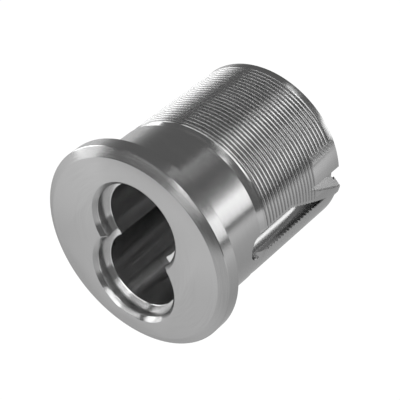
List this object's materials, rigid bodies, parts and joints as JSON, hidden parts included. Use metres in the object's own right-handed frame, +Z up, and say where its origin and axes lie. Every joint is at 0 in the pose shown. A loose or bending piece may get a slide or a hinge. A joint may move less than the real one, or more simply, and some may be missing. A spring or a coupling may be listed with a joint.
{
  "type": "mortise cylinder housing",
  "caption": "Threaded mortise cylinder housing with a figure-8 core bore, set-screw slots and a rear cam that a fitted core turns.",
  "frame": {"origin": "centre of the head's back shoulder, on the barrel's axis", "axes": "+X right as seen from the front face, +Y from the front face to the rear end along the barrel's axis, +Z up along the figure-8 bore's long axis"},
  "size_m": [0.0348, 0.0395, 0.0348],
  "materials": {
    "satin_chrome": "satin chrome plate over brass, turned and brushed",
    "plain_steel": "turned steel",
    "spring_steel": "dark oiled spring steel",
    "cam_steel": "stamped and zinc plated",
    "screw_steel": "zinc plated"
  },
  "bodies": {
    "housing": {"housing_body": "satin_chrome", "retaining_ring": "spring_steel"},
    "driver": {"throw_member": "plain_steel", "drive_pins": "plain_steel", "cam": "cam_steel", "cam_screws": "screw_steel"}
  },
  "joints": [
    {"name": "cam_turn", "type": "hinge", "parent": "housing", "child": "driver", "pos_m": [0, 0.0285, -0.0057], "axis": [0, 1, 0], "continuous": true}
  ]
}
